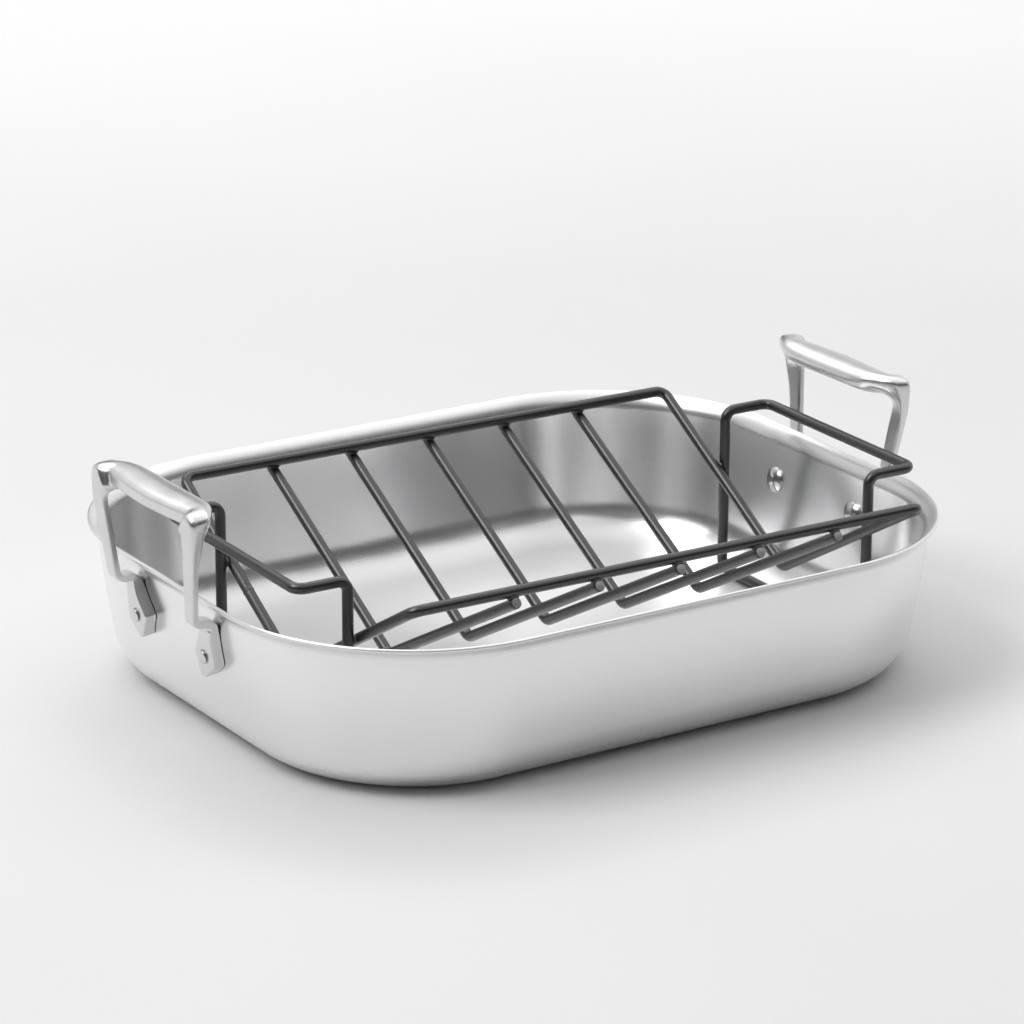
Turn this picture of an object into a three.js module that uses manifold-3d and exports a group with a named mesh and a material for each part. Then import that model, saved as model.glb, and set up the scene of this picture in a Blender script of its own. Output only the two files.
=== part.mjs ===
// Roasting pan with a loose wire V rack, in millimetres with +Z up.
// The origin is the middle of the pan's underside. +X runs along the pan and +Y to its back.
import * as THREE from "three";
import { mergeVertices } from "three/addons/utils/BufferGeometryUtils.js";
import Module from "manifold-3d";

const wasm = await Module();
wasm.setup();
const degrees = THREE.MathUtils.degToRad;

// Room between pieces that touch, are welded or are riveted
const GAP = 0.3;

// Pan: one drawn sheet with a rolled-out lip
const PAN_LENGTH = 430;
const PAN_WIDTH = 347;
const PAN_HEIGHT = 87;
const SHEET = 2.2;
const PLAN_CORNER = 112; // radius of the lip's corners seen from above
const LIP_REACH = 6; // how far the lip stands out from the wall
const LIP_TURN = degrees(70); // how far the lip leans out from upright
const WALL_TAPER = 12; // how far the wall comes in from the lip to the floor
const WALL_BOW = 1.4; // 1 is a straight taper, more leaves the top upright
const FLOOR_FILLET = 27; // outer radius between floor and wall
const EDGE_ROUND = degrees(30); // the lip's cut edge is eased this much to both sides

// Loop handles, cast in one piece, both alike
const RIVET_Y = 36.7; // half the spacing of a handle's two rivets
const RIVET_Z = 56.5;
const PAD_TIP_Y = 33.7;
const PAD_TIP_Z = 44;
const PAD_THICK = 7.9;
const PAD_SINK = 0.6; // the pad is cast this much too thick, then fitted to the wall
const ELBOW_Y = 41.5;
const ELBOW_Z = 76.5;
const LEG_X = 223; // middle of a leg's foot, from the pan's middle
const LEG_LEAN = 5.4; // how much further out a leg stands at its top
const SHOULDER_Y = 50.9;
const SHOULDER_SQUARE = 12; // 2 is a round outer corner, more is squarer
const GRIP_Z = 133.5;
const PAD_BEND = 4.4;
const ELBOW_BEND = 4.6;
const SHOULDER_BEND = 14;

// Sections along half a handle, by their distance from the pad's tip. out and into are the reaches
// away from the pan and towards it, wide is the width in the loop's plane, outer and inner tell an
// oval half (2) from a sharp-edged one, fall lowers the top towards its outer edge, and taper
// shortens the inward reach on the inside of the loop.
const HANDLE_SECTIONS = [
  { at: 0, out: 3.9, into: 3.95, wide: 1.2, outer: 8, inner: 8, fall: 0, taper: 0 },
  { at: 0.5, out: 3.95, into: 3.95, wide: 4, outer: 8, inner: 8, fall: 0, taper: 0 },
  { at: 1.6, out: 3.95, into: 3.95, wide: 6.2, outer: 8, inner: 8, fall: 0, taper: 0 },
  { at: 5, out: 3.95, into: 3.95, wide: 11.4, outer: 8, inner: 8, fall: 0, taper: 0 },
  { at: 10.2, out: 3.95, into: 3.95, wide: 19.6, outer: 8, inner: 8, fall: 0, taper: 0 },
  { at: 11.2, out: 3.95, into: 3.95, wide: 20.4, outer: 8, inner: 8, fall: 0, taper: 0 },
  { at: 12.4, out: 3.95, into: 3.95, wide: 19.8, outer: 8, inner: 8, fall: 0, taper: 0 },
  { at: 21, out: 3.95, into: 3.95, wide: 13.8, outer: 8, inner: 8, fall: 0, taper: 0 },
  { at: 28, out: 3.4, into: 2.9, wide: 10.4, outer: 6, inner: 6, fall: 0, taper: 0 },
  { at: 36, out: 2.2, into: 2.2, wide: 9.2, outer: 5, inner: 5, fall: 0, taper: 0 },
  { at: 46, out: 2.1, into: 2.1, wide: 9, outer: 5, inner: 5, fall: 0, taper: 0 },
  { at: 66, out: 2.1, into: 2.2, wide: 10, outer: 5, inner: 5, fall: 0, taper: 0 },
  { at: 76, out: 2.1, into: 3.2, wide: 10.6, outer: 5, inner: 4.5, fall: 0, taper: 0.34 },
  { at: 84, out: 2.1, into: 5, wide: 11, outer: 5, inner: 4, fall: 0, taper: 0.58 },
  { at: 89, out: 2, into: 7.8, wide: 11.2, outer: 4.5, inner: 3.4, fall: 0, taper: 0.69 },
  { at: 91.5, out: 1.9, into: 11.4, wide: 11.4, outer: 5, inner: 2.9, fall: 0, taper: 0.7 },
  { at: 94, out: 1.8, into: 15, wide: 11.6, outer: 5, inner: 2.6, fall: 0, taper: 0.65 },
  { at: 97, out: 1.6, into: 18.4, wide: 11.8, outer: 5, inner: 2.5, fall: 0, taper: 0.49 },
  { at: 98.8, out: 1.4, into: 19.5, wide: 12, outer: 5, inner: 2.5, fall: 0.03, taper: 0.38 },
  { at: 101.4, out: -2.5, into: 20.5, wide: 12, outer: 5, inner: 2.4, fall: 0.36, taper: 0.2 },
  { at: 106, out: -2.3, into: 21.2, wide: 12, outer: 6.5, inner: 2.4, fall: 0.44, taper: 0.05 },
  { at: 118, out: -0.8, into: 22.1, wide: 12, outer: 7, inner: 2.3, fall: 0.48, taper: 0 },
  { at: 140, out: 0.6, into: 22.2, wide: 12, outer: 7, inner: 2.3, fall: 0.5, taper: 0 },
];
const UNDER_FALL = 0.9; // share of the top's fall that its underside rises by

// Rivets: a low head outside and a domed head inside
const SHANK = 6;
const OUTER_HEAD = 7.6;
const OUTER_HEAD_RISE = 1.3;
const INNER_HEAD = 15;
const INNER_HEAD_RISE = 3.2;
const HOLE_SPARE = 0.6; // how far a rivet's hole is cut past the faces it goes through

// Rack: bent and welded round wire, standing loose on the pan's floor
const ROD = 6;
const RACK_X = 10.4; // where the rack stands in the pan
const RACK_Y = -17.7;
const RACK_TURN = degrees(-1.2);
const FRAME_HALF = 158; // half the length of the frame, between wire middles
const RAIL_HALF = 124; // half the spacing of the two rails
const RAIL_Z = 99.2;
const FRAME_VALLEY_Z = 28.5; // lowest wire middle of the frame's V ends
const ROD_VALLEY_Z = 26;
const ROD_COUNT = 5;
const ROD_PITCH = 50.1;
const ROD_OVERHANG = 5; // how far a rod's cut end passes the rail's middle
const WIRE_BEND = 6;
const STAND_HALF = 69; // half the spacing of a stand's legs
const STAND_REACH = 29.5; // how far the lifting loop stands out
const STAND_LOOP_Z = 100.4;
const STAND_BEND = 6;
const SEAM_AT = 0.4; // place of the frame's butt weld, from the valley up the back arm

// Fineness of the curved surfaces
const CORNER_STEPS = 9;
const FILLET_STEPS = 6;
const WALL_STEPS = 4;
const LIP_STEPS = 4;
const BEND_STEPS = 5;
const WIRE_SIDES = 10;
const HANDLE_SIDES = 16;
const RIVET_SIDES = 16;
const DOME_STEPS = 3;
const LEAST_STEP = 0.4; // stations of a handle closer than this are one station
const HANDLE_RUN = 9; // longest step along a handle's straight runs
const SETTLE_ROUNDS = 20; // rounds in which a radius and a slope that depend on each other settle
const SAME_POINT = 1e-4; // corners closer than this are one corner

const STEEL = { color: 0xe3e3e4, roughness: 0.3, metalness: 1 };
const CAST_STEEL = { color: 0xc9cacb, roughness: 0.36, metalness: 1 };
const RIVET_STEEL = { color: 0xd4d5d6, roughness: 0.25, metalness: 1 };
const COATING = { color: 0x242526, roughness: 0.45, metalness: 0.1 };

// A closed skin over rings of points that run counter-clockwise about the way the rings go.
function skin(rings) {
  const count = rings[0].length;
  const centre = (ring) =>
    ring.reduce((sum, p) => sum.add(p), new THREE.Vector3()).divideScalar(count);
  const points = [...rings.flat(), centre(rings[0]), centre(rings.at(-1))];
  const startCentre = points.length - 2;
  const endCentre = points.length - 1;
  const last = (rings.length - 1) * count;
  const index = [];
  for (let j = 0; j < count; j++) {
    const k = (j + 1) % count;
    for (let row = 0; row < last; row += count) {
      index.push(row + j, row + k, row + count + k);
      index.push(row + j, row + count + k, row + count + j);
    }
    index.push(startCentre, k, j);
    index.push(endCentre, last + j, last + k);
  }
  return new THREE.BufferGeometry().setFromPoints(points).setIndex(index);
}

function toSolid(geometry) {
  const bare = geometry.clone();
  bare.deleteAttribute("normal");
  bare.deleteAttribute("uv");
  const merged = mergeVertices(bare, SAME_POINT);
  const vertProperties = new Float32Array(merged.attributes.position.array);
  const triVerts = new Uint32Array(merged.index.array);
  return new wasm.Manifold(new wasm.Mesh({ numProp: 3, vertProperties, triVerts }));
}

function toGeometry(solid) {
  const mesh = solid.getMesh();
  const geometry = new THREE.BufferGeometry();
  geometry.setAttribute("position", new THREE.BufferAttribute(mesh.vertProperties, 3));
  geometry.setIndex(new THREE.BufferAttribute(mesh.triVerts, 1));
  geometry.computeVertexNormals();
  return geometry;
}

function piece(name, geometry, finish) {
  const mesh = new THREE.Mesh(geometry, new THREE.MeshStandardMaterial(finish));
  mesh.name = name;
  return mesh;
}

// Stations along straight runs with round bends: one bend radius for each inner corner.
function bentPath(corners, bends, longestRun = Infinity) {
  const stations = [];
  const add = (point, tangent) => stations.push({ point, tangent: tangent.clone() });
  const heading = (i) => corners[i + 1].clone().sub(corners[i]).normalize();
  let from = corners[0];
  add(from, heading(0));
  const run = (to, way) => {
    const start = from;
    const steps = Math.max(1, Math.ceil(start.distanceTo(to) / longestRun));
    for (let k = 1; k <= steps; k++) add(start.clone().lerp(to, k / steps), way);
    from = to;
  };
  for (let i = 1; i < corners.length - 1; i++) {
    const before = heading(i - 1);
    const after = heading(i);
    const turn = before.angleTo(after);
    const radius = bends[i - 1];
    const setback = radius * Math.tan(turn / 2);
    const side = after.clone().addScaledVector(before, -after.dot(before)).normalize();
    const start = corners[i].clone().addScaledVector(before, -setback);
    const centre = start.clone().addScaledVector(side, radius);
    run(start, before);
    for (let k = 1; k <= BEND_STEPS; k++) {
      const angle = (turn * k) / BEND_STEPS;
      const tangent = before.clone().multiplyScalar(Math.cos(angle));
      tangent.addScaledVector(side, Math.sin(angle));
      from = centre.clone().addScaledVector(side, -radius * Math.cos(angle));
      from.addScaledVector(before, radius * Math.sin(angle));
      add(from, tangent);
    }
  }
  run(corners.at(-1), heading(corners.length - 2));
  return stations;
}

// A curve that visits exactly the given stations, so that straight runs take one step.
class StationCurve extends THREE.Curve {
  constructor(stations) {
    super();
    this.stations = stations;
  }
  station(t) {
    return this.stations[Math.round(t * (this.stations.length - 1))];
  }
  getPoint(t, target = new THREE.Vector3()) {
    return target.copy(this.station(t).point);
  }
  getTangentAt(t, target = new THREE.Vector3()) {
    return target.copy(this.station(t).tangent);
  }
  getSpacedPoints() {
    return this.stations.map((station) => station.point.clone());
  }
}

function wire(name, corners, bends) {
  const stations = bentPath(corners, bends);
  const section = new THREE.Shape(
    Array.from({ length: WIRE_SIDES }, (_, k) => {
      const angle = (2 * Math.PI * k) / WIRE_SIDES;
      return new THREE.Vector2(Math.cos(angle), Math.sin(angle)).multiplyScalar(ROD / 2);
    }),
  );
  const extrudePath = new StationCurve(stations);
  const geometry = new THREE.ExtrudeGeometry(section, { steps: stations.length - 1, extrudePath });
  return piece(name, geometry, COATING);
}

// Pan wall, measured in from the lip's outline along the middle of the sheet
const LIP_RADIUS = LIP_REACH / (1 - Math.cos(LIP_TURN));
const LIP_FOOT_Z = PAN_HEIGHT - SHEET / 2 - LIP_RADIUS * Math.sin(LIP_TURN);
const LIP_FOOT_INSET = SHEET / 2 + LIP_REACH;
const FILLET_RADIUS = FLOOR_FILLET - SHEET / 2;
const FLOOR_TOP = SHEET;

const wallInset = (z) => LIP_FOOT_INSET + WALL_TAPER * (1 - z / LIP_FOOT_Z) ** WALL_BOW;
const wallLean = (z) =>
  Math.atan(((WALL_TAPER * WALL_BOW) / LIP_FOOT_Z) * (1 - z / LIP_FOOT_Z) ** (WALL_BOW - 1));
const wallOuterX = (z) => PAN_LENGTH / 2 - wallInset(z) + SHEET / 2;

// The sheet's middle line from the floor's edge to the lip's edge, with the way to its inner side.
function sheetProfile() {
  const profile = [];
  const add = (inset, z, lean) => {
    profile.push({ inset, z, toInside: [Math.cos(lean), Math.sin(lean)] });
  };
  let joinZ = FILLET_RADIUS;
  for (let k = 0; k < SETTLE_ROUNDS; k++)
    joinZ = SHEET / 2 + FILLET_RADIUS * (1 - Math.sin(wallLean(joinZ)));
  const joinLean = wallLean(joinZ);
  const floorInset = wallInset(joinZ) + FILLET_RADIUS * Math.cos(joinLean);
  for (let k = 0; k <= FILLET_STEPS; k++) {
    const lean = THREE.MathUtils.lerp(Math.PI / 2, joinLean, k / FILLET_STEPS);
    const z = SHEET / 2 + FILLET_RADIUS * (1 - Math.sin(lean));
    add(floorInset - FILLET_RADIUS * Math.cos(lean), z, lean);
  }
  for (let k = 1; k <= WALL_STEPS; k++) {
    const z = THREE.MathUtils.lerp(joinZ, LIP_FOOT_Z, k / WALL_STEPS);
    add(wallInset(z), z, wallLean(z));
  }
  for (let k = 1; k <= LIP_STEPS; k++) {
    const lean = (LIP_TURN * k) / LIP_STEPS;
    const inset = LIP_FOOT_INSET - LIP_RADIUS * (1 - Math.cos(lean));
    add(inset, LIP_FOOT_Z + LIP_RADIUS * Math.sin(lean), lean);
  }
  return profile;
}

// The pan's outline seen from above, this far in from the lip and at this height.
function planRing(inset, z) {
  const radius = PLAN_CORNER - inset;
  const ring = [];
  for (let corner = 0; corner < 4; corner++) {
    const sideX = corner === 0 || corner === 3 ? 1 : -1;
    const sideY = corner < 2 ? 1 : -1;
    for (let k = 0; k <= CORNER_STEPS; k++) {
      const angle = (Math.PI / 2) * (corner + k / CORNER_STEPS);
      const x = sideX * (PAN_LENGTH / 2 - PLAN_CORNER) + radius * Math.cos(angle);
      const y = sideY * (PAN_WIDTH / 2 - PLAN_CORNER) + radius * Math.sin(angle);
      ring.push(new THREE.Vector3(x, y, z));
    }
  }
  return ring;
}

// The ring that lies this far from the sheet's middle, to its inner side.
const sheetRing = ({ inset, z, toInside }, offset) =>
  planRing(inset + offset * toInside[0], z + offset * toInside[1]);

function panShell() {
  const profile = sheetProfile();
  const outside = profile.map((station) => sheetRing(station, -SHEET / 2));
  const inside = profile.map((station) => sheetRing(station, SHEET / 2)).reverse();
  const { inset, z } = profile.at(-1);
  const edge = [-EDGE_ROUND, EDGE_ROUND].map((ease) => {
    const angle = Math.PI / 2 - LIP_TURN + ease;
    return planRing(inset - (SHEET / 2) * Math.cos(angle), z + (SHEET / 2) * Math.sin(angle));
  });
  return toSolid(skin([...outside, ...edge, ...inside]));
}

// All that lies inside the pan's outer face, grown by the gap, to fit the handles against.
function wallClearance() {
  const rings = sheetProfile().map((station) => sheetRing(station, -SHEET / 2 - GAP));
  return toSolid(skin(rings));
}

// A handle's section at a distance from its pad's tip, on a monotone cubic through the listed ones:
// the slope at a section is the harmonic mean of those on both sides, or level at a turning point.
function handleSection(distance) {
  const last = HANDLE_SECTIONS.length - 1;
  const step = (k) => HANDLE_SECTIONS[k + 1].at - HANDLE_SECTIONS[k].at;
  const chord = (k, size) => (HANDLE_SECTIONS[k + 1][size] - HANDLE_SECTIONS[k][size]) / step(k);
  const slope = (k, size) => {
    if (k === 0) return chord(0, size);
    if (k === last) return 0;
    const [before, after] = [chord(k - 1, size), chord(k, size)];
    return before * after > 0 ? (2 * before * after) / (before + after) : 0;
  };
  const along = Math.min(distance, HANDLE_SECTIONS[last].at);
  const high = Math.max(1, HANDLE_SECTIONS.findIndex((section) => section.at >= along));
  const low = high - 1;
  const length = step(low);
  const t = (along - HANDLE_SECTIONS[low].at) / length;
  const between = (size) =>
    (1 + 2 * t) * (1 - t) ** 2 * HANDLE_SECTIONS[low][size] +
    t * (1 - t) ** 2 * length * slope(low, size) +
    t * t * (3 - 2 * t) * HANDLE_SECTIONS[high][size] +
    t * t * (t - 1) * length * slope(high, size);
  const sizes = ["out", "into", "wide", "outer", "inner", "fall", "taper"];
  return Object.fromEntries(sizes.map((size) => [size, between(size)]));
}

// The right handle's middle line from the front pad over the grip to the back pad.
function handlePath() {
  const padX = (z) => wallOuterX(z) + PAD_THICK / 2 - PAD_SINK;
  const side = (sign) => [
    new THREE.Vector3(padX(PAD_TIP_Z), sign * PAD_TIP_Y, PAD_TIP_Z),
    new THREE.Vector3(padX(ELBOW_Z), sign * ELBOW_Y, ELBOW_Z),
    new THREE.Vector3(LEG_X, sign * ELBOW_Y, ELBOW_Z),
    new THREE.Vector3(LEG_X + LEG_LEAN, sign * SHOULDER_Y, GRIP_Z),
  ];
  const bends = [PAD_BEND, ELBOW_BEND, SHOULDER_BEND];
  const corners = [...side(-1), ...side(1).reverse()];
  return bentPath(corners, [...bends, ...bends.reverse()], HANDLE_RUN);
}

// How far a shoulder's corner lies beyond a round one, as a share of its radius. The turn goes from
// nought on the leg, which splays a little, to a right angle on the grip.
function shoulderCorner(tangent) {
  const splay = Math.atan2(SHOULDER_Y - ELBOW_Y, GRIP_Z - ELBOW_Z);
  const turned = Math.atan2(tangent.y, Math.abs(tangent.z)) + splay;
  const turn = (Math.PI / 2) * THREE.MathUtils.clamp(turned / (Math.PI / 2 + splay), 0, 1);
  const square = Math.cos(turn) ** SHOULDER_SQUARE + Math.sin(turn) ** SHOULDER_SQUARE;
  return square ** (-1 / SHOULDER_SQUARE) - 1;
}

// The ring of points round a handle's section: one half towards the pan and one away from it.
// The shoulders are square on the outer face and stay round towards the pan.
function handleRing({ point, tangent }, section) {
  const { out, into, wide, outer, inner, fall, taper } = section;
  const outward = new THREE.Vector3(1, 0, 0);
  const inLoop = new THREE.Vector3(0, point.y < 0 ? 1 : -1, 0);
  const upper = point.z > (ELBOW_Z + GRIP_Z) / 2;
  if (upper) {
    outward.addScaledVector(tangent, -tangent.x).normalize();
    inLoop.crossVectors(tangent, outward);
  } else {
    inLoop.addScaledVector(tangent, -inLoop.dot(tangent)).normalize();
    outward.crossVectors(inLoop, tangent);
  }
  const corner = upper ? shoulderCorner(tangent) : 0;
  return Array.from({ length: HANDLE_SIDES }, (_, k) => {
    const angle = (2 * Math.PI * k) / HANDLE_SIDES;
    const side = Math.sign(Math.cos(angle));
    const power = 2 / (side > 0 ? outer : inner);
    const across = Math.abs(Math.cos(angle)) ** power;
    const inside = Math.sign(Math.sin(angle)) * Math.abs(Math.sin(angle)) ** power;
    const drop = side > 0 ? fall * across ** 2 * (inside < 0 ? 1 : UNDER_FALL) : 0;
    const reach = into * (1 - (taper * (1 + inside)) / 2);
    const over = (side * across * (out + reach)) / 2 + (out - reach) / 2;
    const outside = (SHOULDER_BEND + wide / 2) * ((1 - inside) / 2) ** 2;
    const hollow = (SHOULDER_BEND - wide / 2) * ((1 + inside) / 2) ** 2;
    const drawn = side > 0 ? outside + hollow * across : outside * (1 - across ** 2);
    const aside = (wide / 2) * inside * (1 - drop) - corner * drawn;
    return point.clone().addScaledVector(outward, over).addScaledVector(inLoop, aside);
  });
}

// The handle's middle line has stations at its bends and at the listed sections of both halves.
function handleBody() {
  const path = handlePath();
  const travelled = [0];
  for (let k = 1; k < path.length; k++)
    travelled.push(travelled[k - 1] + path[k].point.distanceTo(path[k - 1].point));
  const total = travelled.at(-1);
  const marks = HANDLE_SECTIONS.map(({ at }) => at).filter((at) => at < total / 2 - LEAST_STEP);
  const listed = [...marks, ...marks.map((at) => total - at)];
  const bent = travelled.filter((d) => listed.every((at) => Math.abs(at - d) > LEAST_STEP));
  const places = [...listed, ...bent].sort((a, b) => a - b);
  const rings = places.map((place) => {
    const next = Math.max(1, travelled.findIndex((d) => d >= place - SAME_POINT));
    const blend = (place - travelled[next - 1]) / (travelled[next] - travelled[next - 1]);
    const point = path[next - 1].point.clone().lerp(path[next].point, blend);
    const tangent = path[next - 1].tangent.clone().lerp(path[next].tangent, blend).normalize();
    return handleRing({ point, tangent }, handleSection(Math.min(place, total - place)));
  });
  return toSolid(skin(rings));
}

// A rivet's frame: its axis stands square on the wall, zero at the wall's outer face.
function rivetFrame(sideX, sideY) {
  const frame = new THREE.Group();
  frame.position.set(sideX * wallOuterX(RIVET_Z), sideY * RIVET_Y, RIVET_Z);
  frame.rotation.y = sideX * (Math.PI / 2 + wallLean(RIVET_Z));
  frame.updateMatrix();
  return frame;
}

const PAD_FACE = PAD_THICK - PAD_SINK + GAP;

function rivetGeometry() {
  const dome = (radius, rise, from, way) =>
    Array.from({ length: DOME_STEPS + 1 }, (_, k) => {
      const angle = ((Math.PI / 2) * k) / DOME_STEPS;
      return new THREE.Vector2(radius * Math.sin(angle), from + way * rise * Math.cos(angle));
    });
  const innerFace = -SHEET - GAP;
  const inner = dome(INNER_HEAD / 2, INNER_HEAD_RISE, innerFace, -1);
  const outer = dome(OUTER_HEAD / 2, OUTER_HEAD_RISE, PAD_FACE, 1).reverse();
  const shank = [new THREE.Vector2(SHANK / 2, innerFace), new THREE.Vector2(SHANK / 2, PAD_FACE)];
  const geometry = new THREE.LatheGeometry([...inner, ...shank, ...outer], RIVET_SIDES);
  return geometry.rotateX(Math.PI / 2);
}

// The hole that a rivet's shank goes through, in the pan's frame.
function rivetHole(frame) {
  const length = PAD_FACE + SHEET + 2 * HOLE_SPARE;
  const hole = new THREE.CylinderGeometry(SHANK / 2 + GAP, SHANK / 2 + GAP, length, RIVET_SIDES);
  hole.rotateX(Math.PI / 2).translate(0, 0, (PAD_FACE - SHEET) / 2);
  return toSolid(hole.applyMatrix4(frame.matrix));
}

const model = new THREE.Group();
const pan = new THREE.Group();
const rack = new THREE.Group();
model.add(pan, rack);

// Pan, handles and rivets
let shell = panShell();
const clearance = wallClearance();
for (const [end, sideX] of [["left", -1], ["right", 1]]) {
  let casting = handleBody();
  if (sideX < 0) casting = casting.mirror([1, 0, 0]);
  casting = casting.subtract(clearance);
  for (const [place, sideY] of [["front", -1], ["back", 1]]) {
    const frame = rivetFrame(sideX, sideY);
    const hole = rivetHole(frame);
    shell = shell.subtract(hole);
    casting = casting.subtract(hole);
    frame.add(piece(`rivet_${end}_${place}`, rivetGeometry(), RIVET_STEEL));
    pan.add(frame);
  }
  pan.add(piece(`handle_${end}`, toGeometry(casting), CAST_STEEL));
}
pan.add(piece("pan_body", toGeometry(shell), STEEL));

// Rack: the frame is one wire whose ends meet at a butt weld on its left end
const valleyCorner = (bottom, half, top) => {
  let corner = bottom;
  for (let k = 0; k < SETTLE_ROUNDS; k++) {
    const slope = Math.atan2(top - corner, half);
    corner = bottom - WIRE_BEND * (1 / Math.cos(slope) - 1);
  }
  return corner;
};

function frameCorners() {
  const valley = valleyCorner(FRAME_VALLEY_Z, RAIL_HALF, RAIL_Z);
  const low = (x) => new THREE.Vector3(x, 0, valley);
  const high = (x, y) => new THREE.Vector3(x, y, RAIL_Z);
  const seam = low(-FRAME_HALF).lerp(high(-FRAME_HALF, RAIL_HALF), SEAM_AT);
  const way = high(-FRAME_HALF, RAIL_HALF).sub(low(-FRAME_HALF)).normalize();
  return [
    seam.clone().addScaledVector(way, -GAP / 2),
    low(-FRAME_HALF),
    high(-FRAME_HALF, -RAIL_HALF),
    high(FRAME_HALF, -RAIL_HALF),
    low(FRAME_HALF),
    high(FRAME_HALF, RAIL_HALF),
    high(-FRAME_HALF, RAIL_HALF),
    seam.clone().addScaledVector(way, GAP / 2),
  ];
}

// A rod's arms pass under the rails with room for the weld.
function rodCorners(x) {
  const valley = valleyCorner(ROD_VALLEY_Z, RAIL_HALF, RAIL_Z - ROD);
  const rise = RAIL_Z - valley;
  const slope = Math.atan2(rise, RAIL_HALF) - Math.asin((ROD + GAP) / Math.hypot(rise, RAIL_HALF));
  const end = RAIL_HALF + ROD_OVERHANG;
  const tip = (sign) => new THREE.Vector3(x, sign * end, valley + end * Math.tan(slope));
  return [tip(-1), new THREE.Vector3(x, 0, valley), tip(1)];
}

// A stand's wire: base bar, leg, lifting loop and leg, with its butt weld under the base bar.
function standCorners(sideX) {
  const legX = FRAME_HALF + ROD + GAP;
  const baseZ = FLOOR_TOP + GAP + ROD / 2;
  const at = (out, y, z) => new THREE.Vector3(sideX * (legX + out), y, z);
  return [
    at(0, GAP / 2, baseZ),
    at(0, STAND_HALF, baseZ),
    at(0, STAND_HALF, STAND_LOOP_Z),
    at(STAND_REACH, STAND_HALF, STAND_LOOP_Z),
    at(STAND_REACH, -STAND_HALF, STAND_LOOP_Z),
    at(0, -STAND_HALF, STAND_LOOP_Z),
    at(0, -STAND_HALF, baseZ),
    at(0, -GAP / 2, baseZ),
  ];
}

rack.position.set(RACK_X, RACK_Y, 0);
rack.rotation.z = RACK_TURN;
rack.add(wire("rack_frame", frameCorners(), Array(6).fill(WIRE_BEND)));
for (let k = 1; k <= ROD_COUNT; k++) {
  const x = ROD_PITCH * (k - (ROD_COUNT + 1) / 2);
  rack.add(wire(`rack_rod_${k}`, rodCorners(x), [WIRE_BEND]));
}
rack.add(wire("rack_stand_left", standCorners(-1), Array(6).fill(STAND_BEND)));
rack.add(wire("rack_stand_right", standCorners(1), Array(6).fill(STAND_BEND)));

export default model;
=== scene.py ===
import math

import bpy
import numpy as np
from mathutils import Matrix


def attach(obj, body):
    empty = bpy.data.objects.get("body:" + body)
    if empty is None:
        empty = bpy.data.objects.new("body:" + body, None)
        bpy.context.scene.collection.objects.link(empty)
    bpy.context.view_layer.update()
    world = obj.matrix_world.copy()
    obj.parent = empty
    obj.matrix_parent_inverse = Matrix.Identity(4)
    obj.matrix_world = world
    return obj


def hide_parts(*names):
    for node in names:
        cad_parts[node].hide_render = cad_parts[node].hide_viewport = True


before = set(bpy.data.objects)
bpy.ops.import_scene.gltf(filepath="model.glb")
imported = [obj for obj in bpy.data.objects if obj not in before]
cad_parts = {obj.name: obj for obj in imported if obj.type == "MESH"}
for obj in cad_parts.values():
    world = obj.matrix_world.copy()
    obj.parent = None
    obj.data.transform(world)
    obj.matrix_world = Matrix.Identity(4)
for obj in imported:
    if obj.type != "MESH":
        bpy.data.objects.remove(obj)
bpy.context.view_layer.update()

# Millimetres, as the solids are drawn
MM = 0.001
GAP = 0.3

# Drawn steel shell
PAN_LENGTH = 430.0
PAN_WIDTH = 347.0
PAN_HEIGHT = 87.0
SHEET = 2.2
PLAN_CORNER = 112.0
LIP_REACH = 6.0
LIP_TURN = math.radians(70)
WALL_TAPER = 12.0
WALL_BOW = 1.4
FLOOR_FILLET = 27.0
LIP_RADIUS = LIP_REACH / (1 - math.cos(LIP_TURN))
LIP_FOOT_Z = PAN_HEIGHT - SHEET / 2 - LIP_RADIUS * math.sin(LIP_TURN)
LIP_FOOT_INSET = LIP_REACH + SHEET / 2
FILLET_RADIUS = FLOOR_FILLET - SHEET / 2

# Cast loop handles
RIVET_Y = 36.7
RIVET_Z = 56.5
PAD_TIP_Y = 33.7
PAD_TIP_Z = 44.0
PAD_THICK = 7.9
PAD_SINK = 0.6
ELBOW_Y = 41.5
ELBOW_Z = 76.5
LEG_X = 223.0
LEG_LEAN = 5.4
SHOULDER_Y = 50.9
SHOULDER_SQUARE = 12
GRIP_Z = 133.5
PAD_BEND = 4.4
ELBOW_BEND = 4.6
SHOULDER_BEND = 14.0
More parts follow.
